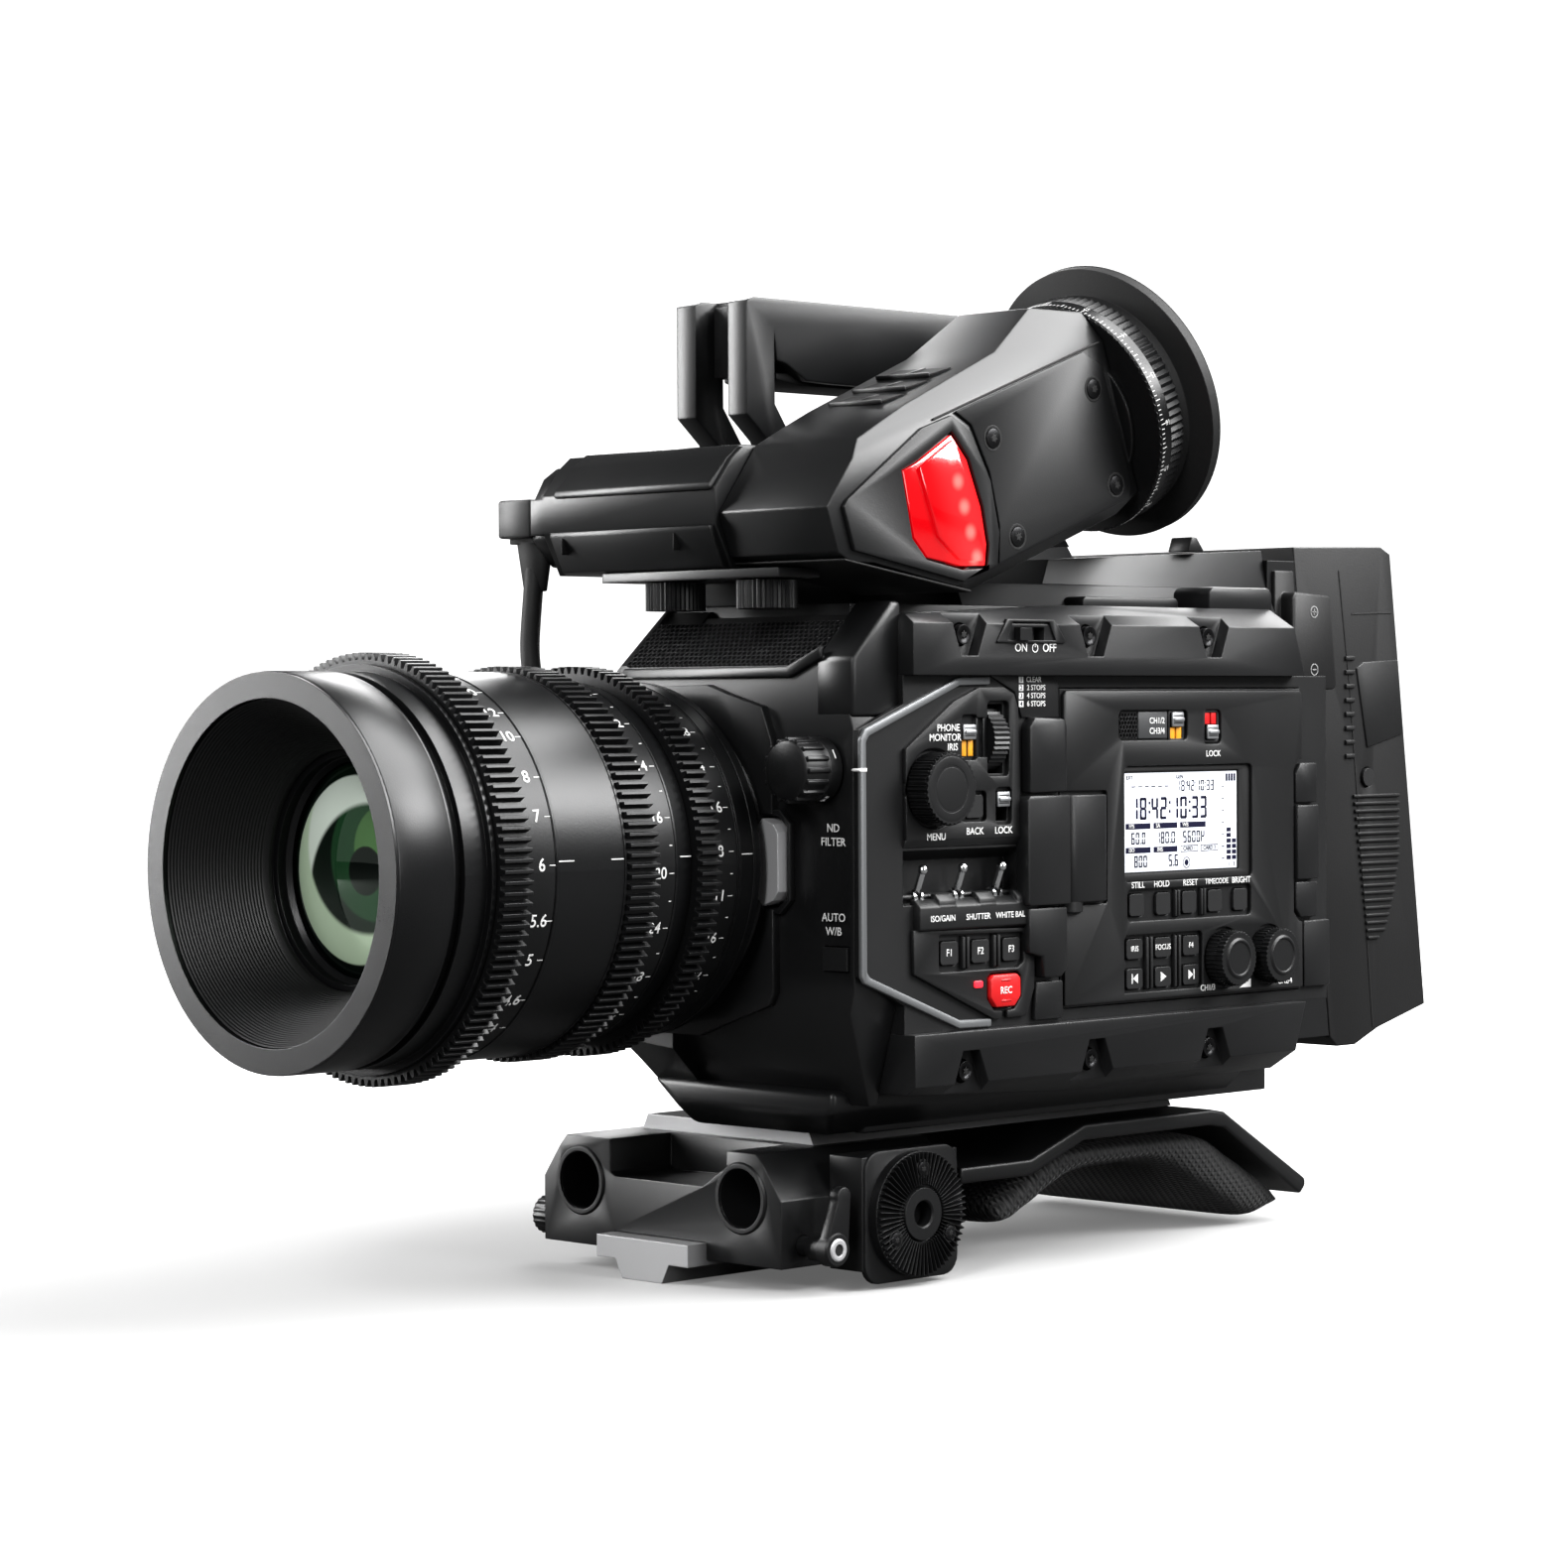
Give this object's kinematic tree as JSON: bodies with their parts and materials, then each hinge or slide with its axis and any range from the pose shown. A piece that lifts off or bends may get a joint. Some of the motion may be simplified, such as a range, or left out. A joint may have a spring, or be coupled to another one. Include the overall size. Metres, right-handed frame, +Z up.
{
  "type": "digital cinema camera",
  "caption": "Shoulder digital cinema camera with cine zoom lens, side control panel, fold-out monitor door, tilting viewfinder, top handle, slide-on battery and padded shoulder base",
  "frame": {"origin": "on the ground, straight under the image plane on the lens axis", "axes": "+X to the operator's control side, +Y to the rear of the camera, +Z up"},
  "size_m": [0.1618, 0.3861, 0.2626],
  "materials": {
    "body_black": "satin black, fine grained",
    "lens_black": "black anodised, semi-gloss",
    "grille_black": "matt black perforated sheet",
    "mount_steel": "turned and brushed",
    "trim_bright": "bright, lightly brushed",
    "slider_alloy": "satin",
    "coated_glass": "clear with green coating",
    "knob_black": "knurled, satin black",
    "key_black": "fine matt",
    "record_red": "smooth red",
    "display_panels": "smooth, behind clear window",
    "inner_alloy": "machined",
    "base_black": "black hard anodised",
    "board_green": "green laminate",
    "fan_black": "matt",
    "pad_fabric": "textured woven cover over foam",
    "cup_rubber": "soft matt",
    "battery_black": "moulded, fine grained",
    "screw_dark": "blackened"
  },
  "bodies": {
    "camera": {"lens_barrel": "lens_black", "lens_glass": "coated_glass", "lens_mount": "mount_steel", "front_casting": "body_black", "front_grille": "grille_black", "chassis": "body_black", "top_cover": "body_black", "side_rails": "body_black", "control_panel": "body_black", "panel_trim": "trim_bright", "far_cover": "body_black", "rear_plate": "body_black", "sensor_block": "inner_alloy", "main_board": "board_green", "handle": "body_black", "viewfinder_bar": "body_black", "viewfinder_cable": "cup_rubber", "base_plate": "base_black", "rosette": "base_black", "dovetail_plates": "inner_alloy", "shoulder_frame": "base_black", "shoulder_pad": "pad_fabric", "screws": "screw_dark"},
    "focus": {"focus_ring": "lens_black"},
    "zoom": {"zoom_ring": "lens_black"},
    "iris": {"iris_ring": "lens_black"},
    "release": {"lens_release": "mount_steel"},
    "nd_control": {"nd_knob": "knob_black"},
    "nd_filters": {"nd_wheel": "inner_alloy"},
    "fan": {"fan_rotor": "fan_black"},
    "monitor_door": {"door": "body_black", "door_displays": "display_panels"},
    "display_buttons": {"display_keys": "key_black"},
    "transport_buttons": {"transport_keys": "key_black"},
    "level_front": {"level_knob_front": "knob_black"},
    "level_rear": {"level_knob_rear": "knob_black"},
    "channel_switch": {"channel_slider": "slider_alloy"},
    "door_lock": {"door_lock_slider": "slider_alloy"},
    "monitor_switch": {"monitor_slider": "slider_alloy"},
    "panel_lock": {"panel_lock_slider": "slider_alloy"},
    "menu_dial": {"menu_knob": "knob_black"},
    "wheel": {"thumbwheel": "knob_black"},
    "gain": {"gain_toggle": "trim_bright"},
    "shutter": {"shutter_toggle": "trim_bright"},
    "balance": {"balance_toggle": "trim_bright"},
    "power": {"power_switch": "trim_bright"},
    "back": {"back_button": "key_black"},
    "functions": {"function_keys": "key_black"},
    "record": {"rec_button": "record_red"},
    "balance_set": {"balance_button": "key_black"},
    "viewfinder": {"viewfinder_body": "body_black", "tally_lens": "record_red", "eyecup": "cup_rubber"},
    "dioptre": {"dioptre_ring": "knob_black"},
    "screw_inner": {"thumbscrew_inner": "knob_black"},
    "screw_outer": {"thumbscrew_outer": "knob_black"},
    "clamp": {"clamp_lever": "knob_black"},
    "base_knob": {"rod_knob": "knob_black"},
    "battery_pack": {"battery": "battery_black"},
    "battery_check": {"battery_button": "key_black"}
  },
  "joints": [
    {"name": "focus_turn", "type": "hinge", "parent": "camera", "child": "focus", "pos_m": [0, -0.13, 0.108], "axis": [0, 1, 0], "range_deg": [-150, 150]},
    {"name": "zoom_turn", "type": "hinge", "parent": "camera", "child": "zoom", "pos_m": [0, -0.086, 0.108], "axis": [0, 1, 0], "range_deg": [-60, 60]},
    {"name": "iris_turn", "type": "hinge", "parent": "camera", "child": "iris", "pos_m": [0, -0.062, 0.108], "axis": [0, 1, 0], "range_deg": [-40, 40]},
    {"name": "release_press", "type": "slide", "parent": "camera", "child": "release", "axis": [0, 1, 0], "range_m": [0, 0.0016], "stiffness_N_per_m": 500},
    {"name": "nd_turn", "type": "hinge", "parent": "camera", "child": "nd_control", "pos_m": [0.0574, -0.044, 0.13099], "axis": [0, 1, 0], "range_deg": [0, 270]},
    {"name": "nd_filter_turn", "type": "hinge", "parent": "camera", "child": "nd_filters", "pos_m": [0.02029, -0.028, 0.108], "axis": [0, 1, 0], "range_deg": [0, 270]},
    {"name": "fan_spin", "type": "hinge", "parent": "camera", "child": "fan", "pos_m": [0, 0.0666, 0.07], "axis": [0, 0, 1], "continuous": true},
    {"name": "door_swing", "type": "hinge", "parent": "camera", "child": "monitor_door", "pos_m": [0.069, 0.0402, 0.108], "axis": [0, 0, -1], "range_deg": [0, 90]},
    {"name": "display_keys_press", "type": "slide", "parent": "monitor_door", "child": "display_buttons", "axis": [-1, 0, 0], "range_m": [0, 0.0008], "stiffness_N_per_m": 300},
    {"name": "transport_keys_press", "type": "slide", "parent": "monitor_door", "child": "transport_buttons", "axis": [-1, 0, 0], "range_m": [0, 0.0008], "stiffness_N_per_m": 300},
    {"name": "level_front_turn", "type": "hinge", "parent": "monitor_door", "child": "level_front", "pos_m": [0.07, 0.10131, 0.07863], "axis": [1, 0, 0], "range_deg": [-150, 150]},
    {"name": "level_rear_turn", "type": "hinge", "parent": "monitor_door", "child": "level_rear", "pos_m": [0.07, 0.12019, 0.07863], "axis": [1, 0, 0], "range_deg": [-150, 150]},
    {"name": "channel_slide", "type": "slide", "parent": "monitor_door", "child": "channel_switch", "axis": [0, 0, -1], "range_m": [0, 0.0034]},
    {"name": "door_lock_slide", "type": "slide", "parent": "monitor_door", "child": "door_lock", "axis": [0, 0, 1], "range_m": [0, 0.0034]},
    {"name": "monitor_slide", "type": "slide", "parent": "camera", "child": "monitor_switch", "axis": [0, 0, -1], "range_m": [0, 0.0034]},
    {"name": "panel_lock_slide", "type": "slide", "parent": "camera", "child": "panel_lock", "axis": [0, 0, -1], "range_m": [0, 0.0034]},
    {"name": "menu_turn", "type": "hinge", "parent": "camera", "child": "menu_dial", "pos_m": [0.07, -0.01231, 0.12599], "axis": [1, 0, 0], "continuous": true},
    {"name": "wheel_turn", "type": "hinge", "parent": "camera", "child": "wheel", "pos_m": [0.0645, 0.01139, 0.13818], "axis": [0, 1, 0], "continuous": true},
    {"name": "gain_flip", "type": "hinge", "parent": "camera", "child": "gain", "pos_m": [0.0676, -0.01563, 0.09902], "axis": [0, 1, 0], "range_deg": [-12, 12], "stiffness_Nm_per_rad": 0.04},
    {"name": "shutter_flip", "type": "hinge", "parent": "camera", "child": "shutter", "pos_m": [0.0676, -0.00098, 0.09902], "axis": [0, 1, 0], "range_deg": [-12, 12], "stiffness_Nm_per_rad": 0.04},
    {"name": "balance_flip", "type": "hinge", "parent": "camera", "child": "balance", "pos_m": [0.0676, 0.01359, 0.09902], "axis": [0, 1, 0], "range_deg": [-12, 12], "stiffness_Nm_per_rad": 0.04},
    {"name": "power_slide", "type": "slide", "parent": "camera", "child": "power", "axis": [0, 1, 0], "range_m": [0, 0.0064]},
    {"name": "back_press", "type": "slide", "parent": "camera", "child": "back", "axis": [-1, 0, 0], "range_m": [0, 0.0008], "stiffness_N_per_m": 300},
    {"name": "function_keys_press", "type": "slide", "parent": "camera", "child": "functions", "axis": [-1, 0, 0], "range_m": [0, 0.0008], "stiffness_N_per_m": 300},
    {"name": "record_press", "type": "slide", "parent": "camera", "child": "record", "axis": [-1, 0, 0], "range_m": [0, 0.0008], "stiffness_N_per_m": 300},
    {"name": "balance_set_press", "type": "slide", "parent": "camera", "child": "balance_set", "axis": [0, 1, 0], "range_m": [0, 0.0008], "stiffness_N_per_m": 300},
    {"name": "viewfinder_tilt", "type": "hinge", "parent": "camera", "child": "viewfinder", "pos_m": [0.0512, -0.0374, 0.19387], "axis": [1, 0, 0], "range_deg": [0, 60]},
    {"name": "dioptre_turn", "type": "hinge", "parent": "viewfinder", "child": "dioptre", "pos_m": [0.0512, 0.06568, 0.2235], "axis": [0, 0.9397, 0.342], "range_deg": [-90, 90]},
    {"name": "screw_inner_turn", "type": "hinge", "parent": "camera", "child": "screw_inner", "pos_m": [0.00461, -0.0374, 0.175], "axis": [0, 0, 1], "continuous": true},
    {"name": "screw_outer_turn", "type": "hinge", "parent": "camera", "child": "screw_outer", "pos_m": [0.03799, -0.0374, 0.175], "axis": [0, 0, 1], "continuous": true},
    {"name": "clamp_turn", "type": "hinge", "parent": "camera", "child": "clamp", "pos_m": [0.048, -0.03245, 0.01167], "axis": [1, 0, 0], "range_deg": [0, 90]},
    {"name": "base_knob_turn", "type": "hinge", "parent": "camera", "child": "base_knob", "pos_m": [-0.048, -0.03245, 0.01167], "axis": [1, 0, 0], "continuous": true},
    {"name": "battery_slide", "type": "slide", "parent": "camera", "child": "battery_pack", "axis": [0, -0.1136, 0.9935], "range_m": [0, 0.05]},
    {"name": "battery_check_press", "type": "slide", "parent": "battery_pack", "child": "battery_check", "axis": [-1, 0, 0], "range_m": [0, 0.0008], "stiffness_N_per_m": 300}
  ],
  "couplings": [
    {"joint": "nd_filter_turn", "follows": "nd_turn", "ratio": 1}
  ]
}
